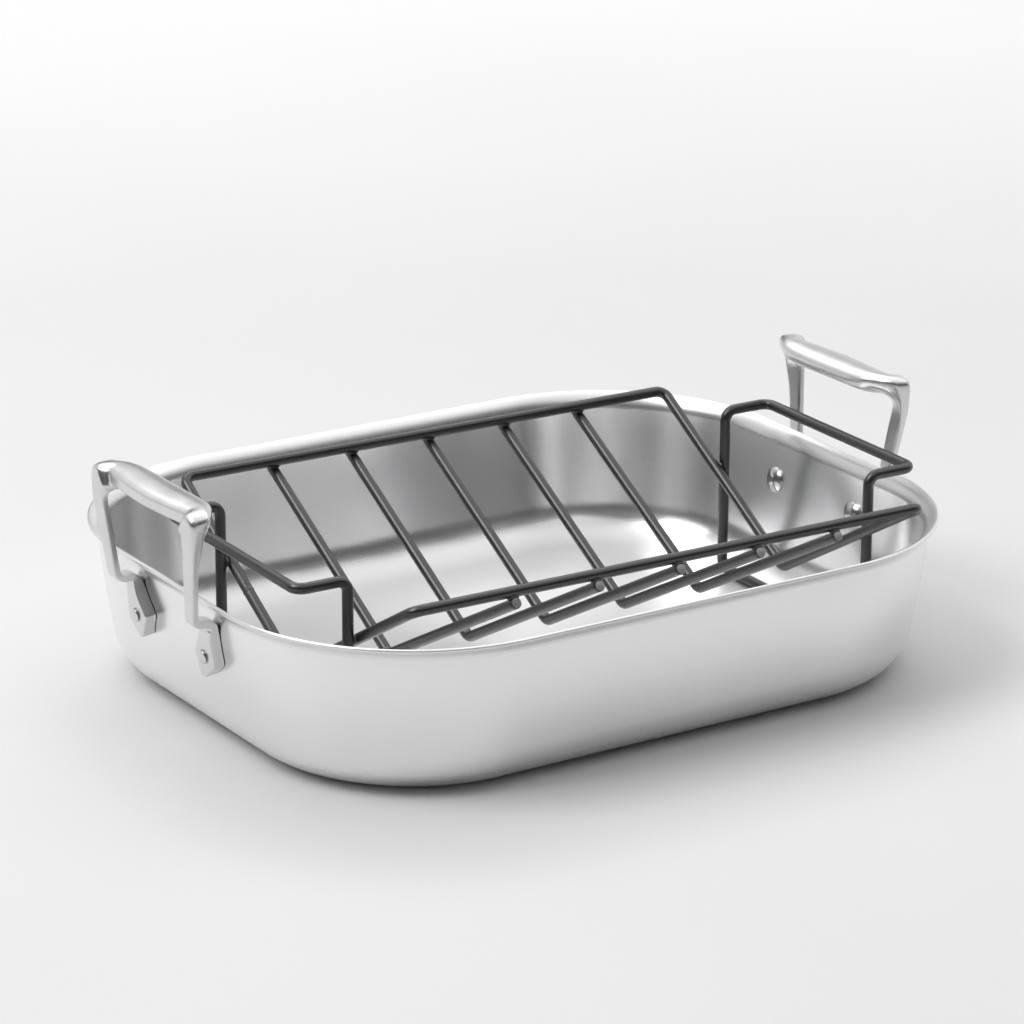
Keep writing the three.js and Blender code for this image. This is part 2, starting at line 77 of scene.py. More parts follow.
# distance from the pad's tip, reach outwards, reach inwards, width, outer and inner squareness, fall of the
# outer top, taper of the inward reach towards the inside of the loop
HANDLE_SECTIONS = np.array([
    (0, 3.9, 3.95, 1.2, 8, 8, 0, 0),
    (0.5, 3.95, 3.95, 4, 8, 8, 0, 0),
    (1.6, 3.95, 3.95, 6.2, 8, 8, 0, 0),
    (5, 3.95, 3.95, 11.4, 8, 8, 0, 0),
    (10.2, 3.95, 3.95, 19.6, 8, 8, 0, 0),
    (11.2, 3.95, 3.95, 20.4, 8, 8, 0, 0),
    (12.4, 3.95, 3.95, 19.8, 8, 8, 0, 0),
    (21, 3.95, 3.95, 13.8, 8, 8, 0, 0),
    (28, 3.4, 2.9, 10.4, 6, 6, 0, 0),
    (36, 2.2, 2.2, 9.2, 5, 5, 0, 0),
    (46, 2.1, 2.1, 9, 5, 5, 0, 0),
    (66, 2.1, 2.2, 10, 5, 5, 0, 0),
    (76, 2.1, 3.2, 10.6, 5, 4.5, 0, 0.34),
    (84, 2.1, 5, 11, 5, 4, 0, 0.58),
    (89, 2, 7.8, 11.2, 4.5, 3.4, 0, 0.69),
    (91.5, 1.9, 11.4, 11.4, 5, 2.9, 0, 0.7),
    (94, 1.8, 15, 11.6, 5, 2.6, 0, 0.65),
    (97, 1.6, 18.4, 11.8, 5, 2.5, 0, 0.49),
    (98.8, 1.4, 19.5, 12, 5, 2.5, 0.03, 0.38),
    (101.4, -2.5, 20.5, 12, 5, 2.4, 0.36, 0.2),
    (106, -2.3, 21.2, 12, 6.5, 2.4, 0.44, 0.05),
    (118, -0.8, 22.1, 12, 7, 2.3, 0.48, 0),
    (140, 0.6, 22.2, 12, 7, 2.3, 0.5, 0),
])
UNDER_FALL = 0.9

# Rivets
SHANK = 6.0
OUTER_HEAD = 7.6
OUTER_RISE = 1.3
OUTER_RIM = 0.25
INNER_HEAD = 15.0
INNER_RISE = 3.2
INNER_RIM = 0.4
PAD_FACE = PAD_THICK - PAD_SINK + GAP

# Coated wire rack
ROD = 6.0
RACK_X = 10.4
RACK_Y = -17.7
RACK_TURN = math.radians(-1.2)
FRAME_HALF = 158.0
RAIL_HALF = 124.0
RAIL_Z = 99.2
FRAME_VALLEY_Z = 28.5
ROD_VALLEY_Z = 26.0
ROD_COUNT = 5
ROD_PITCH = 50.1
ROD_OVERHANG = 5.0
WIRE_BEND = 6.0
STAND_HALF = 69.0
STAND_REACH = 29.5
STAND_LOOP_Z = 100.4
STAND_BEND = 6.0
LEG_OFFSET = FRAME_HALF + ROD + GAP

# Cut ends, butt welds and weld beads of the rack
CUT_LENGTH = 0.5
CUT_DEPTH = 0.45
SEAM_AT = 0.4
SEAM_RISE = 0.22
SEAM_REACH = 2.4
FRAME_SEAM_WIDTH = 0.7
STAND_SEAM_WIDTH = 0.9
# half sizes along the rail, along the rod and from one to the other
ROD_BEAD = (3.3, 2.7, 1.5)
# half sizes along the V end, square to it and from it to the leg
STAND_BEAD = (3.0, 2.7, 1.6)

# Fineness of the surfaces
WIRE_SIDES = 24
WIRE_SPACING = 3.0
SEAM_STEPS = 8
BEND_STEPS = 18
HANDLE_SIDES = 64
HANDLE_SPACING = 1.2
TIP_PLACES = np.array((0, 0.12, 0.3, 0.5, 0.75, 1.0, 1.3, 1.6, 2.0, 2.5, 3.1))
RIVET_SIDES = 48
CAP_STEPS = 14
CAP_START = 0.04
BEAD_SIDES = 20
BEAD_STEPS = 14
BEAD_START = 0.08
FILLET_STEPS = 28
WALL_STEPS = 26
LIP_STEPS = 20
EDGE_STEPS = 12
CORNER_STEPS = 44
LONG_SIDE_STEPS = 24
END_SIDE_STEPS = 16
FLOOR_STEPS = 26
FLOOR_START = 0.03
SETTLE_ROUNDS = 20

# Finishes: heights on the pan in metres, where noise mostly lies, the extra blue in the sheet's grey, and the
# map coordinate that marks a cut end
FLOOR_TO_WALL = (0.003, 0.014)
WALL_TO_LIP = (0.077, 0.083)
NOISE_SPREAD = (0.3, 0.7)
SHEET_BLUE = 0.005
CUT_END_MAP = -1.0

# Floor, in metres
FLOOR_HALF = 8.0
FLOOR_Z = -0.0002
FAR_FLOOR = (0.8, 4.5)
FAR_GLOW = 0.6

# Room: its light where white is 1, and the parts of a direction of length 1 over which the light changes
ROOM_LOW = 0.06
ROOM_OVERHEAD = 0.12
ROOM_FRONT_LEFT = 0.2
ROOM_BACK_LEFT = 0.7
ROOM_BACK_RIGHT = 0.9
ROOM_ON_DULL = 0.35
FROM_LOW = (0.2, 0.6)
TO_OVERHEAD = (0.62, 0.86)
FROM_FRONT_LEFT = (-0.2, 0.4)
TO_BACK_LEFT = (0.78, 0.95)
BACK_LEFT_SLANT = 0.4
TO_BACK_RIGHT = (0.65, 0.95)
BACK_RIGHT_SLANT = 0.3

# Camera, fitted to the picture
CAMERA_AZIMUTH = math.radians(-33.12)
CAMERA_ELEVATION = math.radians(18.84)
CAMERA_ROLL = math.radians(0.347)
CAMERA_DISTANCE = 2.24862
CAMERA_TARGET = np.array((-0.0014, -0.00002, 0.08501))
FOCAL_PIXELS = 4126.87
PICTURE_PIXELS = 1024
FILM_WIDTH = 36.0
FAR_CLIP = 50.0


# Mesh making

def add_object(name, data):
    """A new object in the scene for a mesh, a lamp or a camera."""
    holder = bpy.data.objects.new(name, data)
    bpy.context.scene.collection.objects.link(holder)
    return holder


def closed_grid(grid, loops):
    """Points, faces and map over a grid whose columns run round a ring.

    Each face joins two neighbours of one row with the two below them. Where the rows loop, the last row joins
    the first one. Otherwise each end row is closed by a fan of triangles on the mean of its points. The first
    map coordinate is the distance along the rows and the second is the distance round the ring, in metres. On
    the fans the second is -1, by which a finish can tell a cut end.
    """
    rows, columns = grid.shape[:2]
    spans = rows if loops else rows - 1
    row = np.arange(spans)[:, None]
    column = np.arange(columns)[None, :]
    upper_row = row * columns
    lower_row = (row + 1) % rows * columns
    beside = (column + 1) % columns
    corners = (upper_row + column, upper_row + beside, lower_row + beside, lower_row + column)
    quads = np.stack(np.broadcast_arrays(*corners), axis=-1).reshape(-1, 4)

    steps = np.linalg.norm(np.roll(grid, -1, axis=0) - grid, axis=2).mean(axis=1)
    along = np.concatenate([[0.0], np.cumsum(steps)]) * MM
    ring = np.linalg.norm(np.roll(grid, -1, axis=1) - grid, axis=2).mean(axis=0)
    around = np.concatenate([[0.0], np.cumsum(ring)]) * MM
    u = np.stack(np.broadcast_arrays(along[row], along[row], along[row + 1], along[row + 1]), axis=-1)
    v = np.stack([around[column], around[column + 1], around[column + 1], around[column]], axis=-1)
    quad_map = np.stack(np.broadcast_arrays(u, v), axis=-1).reshape(-1, 4, 2)

    points = grid.reshape(-1, 3)
    if loops:
        return points, quads, np.zeros((0, 3), int), quad_map, np.zeros((0, 3, 2))
    first, last = len(points), len(points) + 1
    points = np.concatenate([points, grid[:1].mean(axis=1), grid[-1:].mean(axis=1)])
    ends = np.arange(columns)
    turn = (ends + 1) % columns
    start_fan = np.stack([np.full(columns, first), turn, ends], axis=-1)
    end_row = (rows - 1) * columns
    end_fan = np.stack([np.full(columns, last), end_row + ends, end_row + turn], axis=-1)
    fan_map = np.full((2 * columns, 3, 2), CUT_END_MAP)
    fan_map[:columns, :, 0] = along[0]
    fan_map[columns:, :, 0] = along[rows - 1]
    return points, quads, np.concatenate([start_fan, end_fan]), quad_map, fan_map


def make_piece(name, node, body, material, sheets):
    """One object at the origin from grids in millimetres, each with its faces turned outwards.

    A grid that encloses a negative volume, summed over its triangles as a sixth of the triple product, has
    its faces reversed.
    """
    points, loops, sizes, maps = [], [], [], []
    base = 0
    for grid, rows_loop in sheets:
        part, quads, fans, quad_map, fan_map = closed_grid(grid, rows_loop)
        triangles = np.concatenate([quads[:, [0, 1, 2]], quads[:, [0, 2, 3]], fans])
        a, b, c = (part[triangles[:, k]] for k in range(3))
        if np.einsum("ij,ij->", a, np.cross(b, c)) < 0:
            quads, quad_map = quads[:, ::-1], quad_map[:, ::-1]
            fans, fan_map = fans[:, ::-1], fan_map[:, ::-1]
        points.append(part * MM)
        loops += [quads.ravel() + base, fans.ravel() + base]
        sizes += [np.full(len(quads), 4), np.full(len(fans), 3)]
        maps += [quad_map.reshape(-1, 2), fan_map.reshape(-1, 2)]
        base += len(part)
    points = np.concatenate(points)
    loops = np.concatenate(loops)
    sizes = np.concatenate(sizes)

    mesh = bpy.data.meshes.new(name)
    mesh.vertices.add(len(points))
    mesh.vertices.foreach_set("co", points.astype(np.float32).ravel())
    mesh.loops.add(len(loops))
    mesh.loops.foreach_set("vertex_index", loops.astype(np.int32))
    mesh.polygons.add(len(sizes))
    mesh.polygons.foreach_set("loop_start", (np.cumsum(sizes) - sizes).astype(np.int32))
    mesh.update(calc_edges=True)
    layer = mesh.uv_layers.new(name="surface")
    layer.data.foreach_set("uv", np.concatenate(maps).astype(np.float32).ravel())
    mesh.validate()
    mesh.materials.append(material)

    piece = add_object(name, mesh)
    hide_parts(node)
    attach(piece, body)


# Paths and sweeps

def unit(vectors):
    """Each vector divided by its own length."""
    return vectors / np.linalg.norm(vectors, axis=-1, keepdims=True)


def bent_path(corners, bends, spacing):
    """Points along straight runs joined by round bends, and the direction at each of them.

    At each inner corner the run stops short by radius times the tangent of half the turn. From there the arc
    is start + radius (sin t along the run + (1 - cos t) towards the next run). Runs are cut at about the
    spacing.
    """
    corners = np.asarray(corners, float)
    runs = unit(np.diff(corners, axis=0))
    points, ways = [], []
    place = corners[0]
    for corner, before, after, radius in zip(corners[1:-1], runs[:-1], runs[1:], bends):
        turn = math.acos(np.clip(before @ after, -1, 1))
        inward = unit(after - before * math.cos(turn))
        start = corner - before * radius * math.tan(turn / 2)
        count = max(1, round(np.linalg.norm(start - place) / spacing))
        share = np.linspace(0, 1, count, endpoint=False)[:, None]
        points.append(place + share * (start - place))
        ways.append(np.tile(before, (count, 1)))
        angle = np.linspace(0, turn, BEND_STEPS, endpoint=False)[:, None]
        points.append(start + radius * (np.sin(angle) * before + (1 - np.cos(angle)) * inward))
        ways.append(np.cos(angle) * before + np.sin(angle) * inward)
        place = start + radius * (math.sin(turn) * before + (1 - math.cos(turn)) * inward)
    count = max(2, round(np.linalg.norm(corners[-1] - place) / spacing))
    points.append(place + np.linspace(0, 1, count)[:, None] * (corners[-1] - place))
    ways.append(np.tile(runs[-1], (count, 1)))
    return np.concatenate(points), np.concatenate(ways)


def wire_grid(path, along, reference, radius):
    """A round wire along a path: point + radius (cos a sideways + sin a upwards).

    Sideways is square to the path and to the reference direction, upwards is square to both. The radius may
    differ from point to point.
    """
    sideways = unit(np.cross(np.asarray(reference, float), along))[:, None, :]
    upwards = np.cross(along[:, None, :], sideways)
    angle = np.linspace(0, 2 * math.pi, WIRE_SIDES, endpoint=False)[None, :, None]
    radius = np.broadcast_to(np.asarray(radius, float), len(path))[:, None, None]
    return path[:, None, :] + radius * (np.cos(angle) * sideways + np.sin(angle) * upwards)


def revolved(profile, origin, axis):
    """A profile of (height, radius) pairs turned about an axis.

    A point is origin + height axis + radius (cos a sideways + sin a upwards).
    """
    axis = unit(np.asarray(axis, float))
    sideways = unit(np.cross(axis, (0.0, 0.0, 1.0)))
    upwards = np.cross(axis, sideways)
    angle = np.linspace(0, 2 * math.pi, RIVET_SIDES, endpoint=False)[:, None]
    spoke = np.cos(angle) * sideways + np.sin(angle) * upwards
    height, radius = np.asarray(profile, float).T
    return origin + height[:, None, None] * axis + radius[:, None, None] * spoke[None]


def bead_grid(centre, axes):
    """A weld bead, an ellipsoid: centre + cos t axis 0 + sin t (cos a axis 1 + sin a axis 2)."""
    t = np.linspace(BEAD_START, math.pi - BEAD_START, BEAD_STEPS)[:, None, None]
    a = np.linspace(0, 2 * math.pi, BEAD_SIDES, endpoint=False)[None, :, None]
    first, second, third = np.asarray(axes, float)
    return np.asarray(centre) + np.cos(t) * first + np.sin(t) * (np.cos(a) * second + np.sin(a) * third)


def butt_weld(distance, width):
    """Radius of a wire with a low ring at a butt weld: radius + rise exp(-(distance / width) squared)."""
    return ROD / 2 + SEAM_RISE * np.exp(-(distance / width) ** 2)


# Pan shell

def wall_inset(z):
    """How far the middle of the wall's sheet stands in from the rim.

    It is a bowed draft that dies out at the lip: foot inset + taper (1 - height / lip's height) to a power.
    """
    return LIP_FOOT_INSET + WALL_TAPER * np.clip(1 - z / LIP_FOOT_Z, 0, None) ** WALL_BOW


def wall_lean(z):
    """Slope of that draft, as an angle from upright."""
    left_to_lip = np.clip(1 - z / LIP_FOOT_Z, 0, None)
    return np.arctan(WALL_TAPER * WALL_BOW / LIP_FOOT_Z * left_to_lip ** (WALL_BOW - 1))


def wall_outer_x(z):
    """Outer face of the right end wall at a height."""
    return PAN_LENGTH / 2 - wall_inset(z) + SHEET / 2


def shell_profile():
    """Middle of the sheet from the floor's edge to the lip's edge, as inset, height and lean.

    The fillet is a circle from lying flat to the wall's own lean, the wall follows its draft, and the lip is
    a circle that turns outwards.
    """
    join_z = FLOOR_FILLET
    for _ in range(SETTLE_ROUNDS):
        join_z = SHEET / 2 + FILLET_RADIUS * (1 - math.sin(wall_lean(join_z)))
    join_lean = float(wall_lean(join_z))
    floor_inset = float(wall_inset(join_z)) + FILLET_RADIUS * math.cos(join_lean)
    lean = np.linspace(math.pi / 2, join_lean, FILLET_STEPS)
    fillet = np.stack([floor_inset - FILLET_RADIUS * np.cos(lean),
                       SHEET / 2 + FILLET_RADIUS * (1 - np.sin(lean)), lean], axis=1)
    z = np.linspace(join_z, LIP_FOOT_Z, WALL_STEPS)[1:]
    wall = np.stack([wall_inset(z), z, wall_lean(z)], axis=1)
    lean = np.linspace(0, LIP_TURN, LIP_STEPS)[1:]
    lip = np.stack([LIP_FOOT_INSET - LIP_RADIUS * (1 - np.cos(lean)),
                    LIP_FOOT_Z + LIP_RADIUS * np.sin(lean), -lean], axis=1)
    return np.concatenate([fillet, wall, lip])


def plan_ring():
    """Bases and directions of the plan's rounded rectangle.

    A point of a ring is base + (corner radius - inset) direction. The base stays at a corner's centre while
    the direction turns by a quarter, then moves to the next centre while the direction stays.
    """
    arc = np.linspace(0, math.pi / 2, CORNER_STEPS)
    half = np.array((PAN_LENGTH / 2 - PLAN_CORNER, PAN_WIDTH / 2 - PLAN_CORNER))
    centres = half * ((1, 1), (-1, 1), (-1, -1), (1, -1))
    bases, directions = [], []
    for quarter, (here, there) in enumerate(zip(centres, np.roll(centres, -1, axis=0))):
        angle = arc + quarter * math.pi / 2
        bases.append(np.tile(here, (len(arc), 1)))
        directions.append(np.stack([np.cos(angle), np.sin(angle)], axis=1))
        steps = LONG_SIDE_STEPS if quarter % 2 == 0 else END_SIDE_STEPS
        share = np.linspace(0, 1, steps + 1)[1:-1, None]
        bases.append(here + share * (there - here))
        directions.append(np.tile(directions[-1][-1], (len(share), 1)))
    return np.concatenate(bases), np.concatenate(directions)


def pan_grid():
    """The whole shell: inside floor, fillet, wall and lip, round the lip's edge, and back down outside.

    Each row of the profile is offset from the middle of the sheet by half its thickness along the sheet's
    normal. The edge is a half circle about the sheet's end. The floors are the floor edge's ring drawn in
    towards the middle.
    """
    inset, z, lean = shell_profile().T
    normal = np.stack([np.cos(lean), np.sin(np.abs(lean))], axis=1)
    middle = np.stack([inset, z], axis=1)
    inner = middle + normal * SHEET / 2
    outer = middle - normal * SHEET / 2
    onward = np.array([-math.sin(LIP_TURN), math.cos(LIP_TURN)])
    angle = np.linspace(0, math.pi, EDGE_STEPS)[1:-1, None]
    edge = middle[-1] + SHEET / 2 * (np.cos(angle) * normal[-1] + np.sin(angle) * onward)
    profile = np.concatenate([inner, edge, outer[::-1]])

    base, direction = plan_ring()
    flat = base[None] + (PLAN_CORNER - profile[:, :1, None]) * direction[None]
    rows = np.concatenate([flat, np.broadcast_to(profile[:, 1:, None], flat.shape[:2] + (1,))], axis=2)
    share = np.linspace(FLOOR_START, 1, FLOOR_STEPS)[:-1, None, None]
    shrink = share * np.array([1, 1, 0]) + np.array([0, 0, 1])
    inside_floor = rows[:1] * shrink
    outside_floor = rows[-1:] * shrink[::-2]
    return np.concatenate([inside_floor, rows, outside_floor])


# Handles

def handle_section(distance):
    """Reaches, width, squareness, fall and taper on a monotone cubic through the listed sections.

    The slope at a listed section is the harmonic mean of the slopes on both sides, or level where they differ
    in sign.
    """
    marks, values = HANDLE_SECTIONS[:, 0], HANDLE_SECTIONS[:, 1:]
    step = np.diff(marks)[:, None]
    chord = np.diff(values, axis=0) / step
    product = chord[:-1] * chord[1:]
    mean = 2 * product / np.where(product > 0, chord[:-1] + chord[1:], 1)
    slope = np.concatenate([chord[:1], np.where(product > 0, mean, 0), np.zeros_like(chord[:1])])
    distance = np.clip(distance, marks[0], marks[-1])
    place = np.clip(np.searchsorted(marks, distance, side="right") - 1, 0, len(marks) - 2)
    size = step[place]
    t = (distance[:, None] - marks[place, None]) / size
    return ((1 + 2 * t) * (1 - t) ** 2 * values[place] + t * (1 - t) ** 2 * size * slope[place]
            + t * t * (3 - 2 * t) * values[place + 1] + t * t * (t - 1) * size * slope[place + 1]).T


def handle_path():
    """Middle of the casting, its direction, and the distance of each point from the nearer pad's tip.

    It runs up the front pad, out over the elbow, up the leg and along the grip, and the back half mirrors the
    front one. Its points lie closer together at the tips, where the pads narrow fast.
    """
    def pad_x(z):
        return float(wall_outer_x(z)) + PAD_THICK / 2 - PAD_SINK

    front = [(pad_x(PAD_TIP_Z), -PAD_TIP_Y, PAD_TIP_Z), (pad_x(ELBOW_Z), -ELBOW_Y, ELBOW_Z),
             (LEG_X, -ELBOW_Y, ELBOW_Z), (LEG_X + LEG_LEAN, -SHOULDER_Y, GRIP_Z)]
    back = [(x, -y, z) for x, y, z in front[::-1]]
    bends = [PAD_BEND, ELBOW_BEND, SHOULDER_BEND]
    path, along = bent_path(front + back, bends + bends[::-1], HANDLE_SPACING)
    reach = np.concatenate([[0.0], np.cumsum(np.linalg.norm(np.diff(path, axis=0), axis=1))])
    between = (reach > TIP_PLACES[-1]) & (reach < reach[-1] - TIP_PLACES[-1])
    places = np.unique(np.concatenate([TIP_PLACES, reach[between], reach[-1] - TIP_PLACES]))
    path = np.stack([np.interp(places, reach, path[:, k]) for k in range(3)], axis=1)
    along = unit(np.stack([np.interp(places, reach, along[:, k]) for k in range(3)], axis=1))
    half = reach[-1] / 2
    return path, along, half - np.abs(places - half)


def handle_axes(path, along, upper):
    """Two directions square to the casting: away from the pan, and in towards the middle of the loop.

    On the upper half the first is X made square to the casting. On the lower half, where the elbow itself
    runs along X, the second is Y towards the loop's middle made square to it. The other is square to both.
    """
    upper = upper[:, None]
    middle = np.zeros((len(path), 3))
    middle[:, 1] = -np.sign(path[:, 1])
    reference = np.where(upper, (1.0, 0.0, 0.0), middle)
    first = unit(reference - along * np.einsum("ij,ij->i", along, reference)[:, None])
    second = np.cross(along, first)
    below_grip = middle - (0, 0, 0.5)
    towards = np.sign(np.einsum("ij,ij->i", second, below_grip))[:, None]
    outward = np.where(upper, first, -second)
    in_loop = np.where(upper, second * towards, first)
    return outward, in_loop


def shoulder_growth(along):
    """How far a superellipse of the turn from leg to grip stands out past a circle, by share of radius.

    It is (cos to a power + sin to a power) to the power -1 / power, less 1.
    """
    splay = math.atan2(SHOULDER_Y - ELBOW_Y, GRIP_Z - ELBOW_Z)
    turn = np.arctan2(along[:, 1], np.abs(along[:, 2])) + splay
    turn = math.pi / 2 * np.clip(turn / (math.pi / 2 + splay), 0, 1)
    power = SHOULDER_SQUARE
    return (np.cos(turn) ** power + np.sin(turn) ** power) ** (-1 / power) - 1


def handle_grid(side):
    """A squarish section swept along the loop from one pad's tip over the grip to the other's.

    The section is two half superellipses, one towards the outside of the pan and one towards the pan. The
    outer half's top falls with the square of the distance, so that the grip has a crisp ridge along its outer
    edge. On the shoulders the section is drawn outwards by a superellipse of the turn, so that the corners
    are square on the outer face and stay round towards the pan. The pads' inner faces lie on the pan's wall.
    """
    path, along, from_tip = handle_path()
    section = handle_section(from_tip)[:, :, None]
    reach_out, reach_in, wide, square_out, square_in, fall, taper = section
    upper = path[:, 2] > (ELBOW_Z + GRIP_Z) / 2
    outward, in_loop = handle_axes(path, along, upper)
    corner = np.where(upper, shoulder_growth(along), 0)[:, None]

    angle = np.linspace(0, 2 * math.pi, HANDLE_SIDES, endpoint=False)[None, :]
    outer = np.cos(angle) > 0
    power = 2 / np.where(outer, square_out, square_in)
    bulge_out = np.abs(np.cos(angle)) ** power
    bulge_in = np.sign(np.sin(angle)) * np.abs(np.sin(angle)) ** power
    fall = fall * np.where(outer, bulge_out ** 2, 0) * np.where(bulge_in < 0, 1, UNDER_FALL)
    reach_in = reach_in * (1 - taper * (1 + bulge_in) / 2)
    half_thick = (reach_out + reach_in) / 2
    over = half_thick * np.where(outer, bulge_out, -bulge_out) + (reach_out - reach_in) / 2
    outside = (SHOULDER_BEND + wide / 2) * ((1 - bulge_in) / 2) ** 2 * np.where(outer, 1, 1 - bulge_out ** 2)
    inside = (SHOULDER_BEND - wide / 2) * ((1 + bulge_in) / 2) ** 2 * np.where(outer, bulge_out, 0)
    aside = wide / 2 * bulge_in * (1 - fall) - corner * (outside + inside)
    grid = path[:, None, :] + over[..., None] * outward[:, None, :] + aside[..., None] * in_loop[:, None, :]

    low = grid[..., 2] < LIP_FOOT_Z
    face = wall_outer_x(grid[..., 2]) + GAP
    grid[..., 0] = np.where(low, np.maximum(grid[..., 0], face), grid[..., 0])
    grid[..., 0] *= side
    return grid


def rivet_grid(side_x, side_y):
    """A rivet turned about its own axis.

    It has a domed inner head, a shank through wall and pad, and a low outer head. Each head is the cap of a
    sphere with that width and rise, on a short upright rim.
    """
    def cap(width, rise, rim):
        ball = ((width / 2) ** 2 + (rise - rim) ** 2) / (2 * (rise - rim))
        turn = np.linspace(CAP_START, math.asin(width / 2 / ball), CAP_STEPS)
        return rise - ball * (1 - np.cos(turn)), ball * np.sin(turn)

    inner_face = -(SHEET + GAP)
    inner_height, inner_radius = cap(INNER_HEAD, INNER_RISE, INNER_RIM)
    outer_height, outer_radius = cap(OUTER_HEAD, OUTER_RISE, OUTER_RIM)
    profile = np.concatenate([
        np.stack([inner_face - inner_height, inner_radius], axis=1),
        [(inner_face, INNER_HEAD / 2), (inner_face, SHANK / 2)],
        [(PAD_FACE, SHANK / 2), (PAD_FACE, OUTER_HEAD / 2)],
        np.stack([PAD_FACE + outer_height, outer_radius], axis=1)[::-1],
    ])
    lean = float(wall_lean(RIVET_Z))
    origin = np.array((side_x * float(wall_outer_x(RIVET_Z)), side_y * RIVET_Y, RIVET_Z))
    return revolved(profile, origin, (side_x * math.cos(lean), 0.0, -math.sin(lean)))


# Rack

def in_place(grid):
    """Turns the rack's own grid about the upright and moves it to where the rack stands in the pan."""
    c, s = math.cos(RACK_TURN), math.sin(RACK_TURN)
    turn = np.array(((c, s, 0.0), (-s, c, 0.0), (0.0, 0.0, 1.0)))
    return grid @ turn + np.array((RACK_X, RACK_Y, 0.0))


def valley_corner(bottom, half, top):
    """Height of the sharp corner of a V whose round bend touches the bottom."""
    corner = bottom
    for _ in range(SETTLE_ROUNDS):
        slope = math.atan2(top - corner, half)
        corner = bottom - WIRE_BEND * (1 / math.cos(slope) - 1)
    return corner


def frame_grid():
    """One wire round both rails and both V ends, closed by a butt weld on the left end."""
    valley = valley_corner(FRAME_VALLEY_Z, RAIL_HALF, RAIL_Z)
    seam = np.array((-FRAME_HALF, SEAM_AT * RAIL_HALF, valley + SEAM_AT * (RAIL_Z - valley)))
    left = [(-FRAME_HALF, 0, valley), (-FRAME_HALF, -RAIL_HALF, RAIL_Z)]
    right = [(FRAME_HALF, -RAIL_HALF, RAIL_Z), (FRAME_HALF, 0, valley), (FRAME_HALF, RAIL_HALF, RAIL_Z)]
    corners = [seam, *left, *right, (-FRAME_HALF, RAIL_HALF, RAIL_Z), seam]
    path, along = bent_path(corners, [WIRE_BEND] * 6, WIRE_SPACING)
    keep = np.linalg.norm(path - seam, axis=1) > WIRE_SPACING
    down = unit(np.array(left[0]) - seam)
    fine = seam + np.linspace(-SEAM_REACH, SEAM_REACH, 2 * SEAM_STEPS + 1)[:, None] * down
    path = np.concatenate([fine[SEAM_STEPS:], path[keep], fine[:SEAM_STEPS]])
    along = np.concatenate([np.tile(down, (SEAM_STEPS + 1, 1)), along[keep], np.tile(down, (SEAM_STEPS, 1))])
    radius = butt_weld(np.linalg.norm(path - seam, axis=1), FRAME_SEAM_WIDTH)
    return in_place(wire_grid(path, along, (0, 0, 1), radius))


def rod_grids(number):
    """A V rod under both rails, with flat cut ends, and a weld bead where it meets each rail."""
    x = ROD_PITCH * (number - (ROD_COUNT + 1) / 2)
    valley = valley_corner(ROD_VALLEY_Z, RAIL_HALF, RAIL_Z - ROD)
    rise = RAIL_Z - valley
    slope = math.atan2(rise, RAIL_HALF) - math.asin((ROD + GAP) / math.hypot(rise, RAIL_HALF))
    end = RAIL_HALF + ROD_OVERHANG
    tip = valley + end * math.tan(slope)
    path, way = bent_path([(x, -end, tip), (x, 0, valley), (x, end, tip)], [WIRE_BEND], WIRE_SPACING)
    first_edge = path[:1] + CUT_LENGTH * way[:1]
    last_edge = path[-1:] - CUT_LENGTH * way[-1:]
    path = np.concatenate([path[:1], first_edge, path[1:-1], last_edge, path[-1:]])
    way = np.concatenate([way[:1], way, way[-1:]])
    radius = np.full(len(path), ROD / 2)
    radius[[0, -1]] -= CUT_DEPTH
    sheets = [(in_place(wire_grid(path, way, (1, 0, 0), radius)), False)]
    for side in (-1, 1):
        rail = np.array((1, 0, 0))
        along = np.array((0, side * math.cos(slope), math.sin(slope)))
        away = np.array((0, side * math.sin(slope), -math.cos(slope)))
        centre = np.array((x, side * RAIL_HALF, RAIL_Z)) + away * (ROD + GAP) / 2
        axes = [size * axis for size, axis in zip(ROD_BEAD, (rail, along, away))]
        sheets.append((in_place(bead_grid(centre, axes)), False))
    return sheets


def stand_grids(side):
    """An end stand: foot bar, two legs and a lifting loop from one wire.

    A butt weld closes the wire in the middle of the foot bar, and a weld bead lies where each leg meets the
    frame's V end.
    """
    base = SHEET + GAP + ROD / 2
    half, top = STAND_HALF, STAND_LOOP_Z
    x = side * LEG_OFFSET
    loop_x = x + side * STAND_REACH
    corners = [(x, 0, base), (x, half, base), (x, half, top), (loop_x, half, top), (loop_x, -half, top),
               (x, -half, top), (x, -half, base), (x, 0, base)]
    path, way = bent_path(corners, [STAND_BEND] * 6, WIRE_SPACING)
    path, way = path[:-1], way[:-1]
    from_seam = np.abs(path[:, 1]) + np.abs(path[:, 2] - base)
    radius = butt_weld(from_seam, STAND_SEAM_WIDTH)
    sheets = [(in_place(wire_grid(path, way, (1, 1, 1), radius)), True)]
    valley = valley_corner(FRAME_VALLEY_Z, RAIL_HALF, RAIL_Z)
    height = valley + half / RAIL_HALF * (RAIL_Z - valley)
    slope = math.atan2(RAIL_Z - valley, RAIL_HALF)
    for end in (-1, 1):
        centre = (side * (FRAME_HALF + (ROD + GAP) / 2), end * half, height)
        along = np.array((0, end * math.cos(slope), math.sin(slope)))
        square = np.array((0, -end * math.sin(slope), math.cos(slope)))
        to_leg = np.array((1, 0, 0))
        axes = [size * axis for size, axis in zip(STAND_BEAD, (along, square, to_leg))]
        sheets.append((in_place(bead_grid(centre, axes)), False))
    return sheets


# Finishes

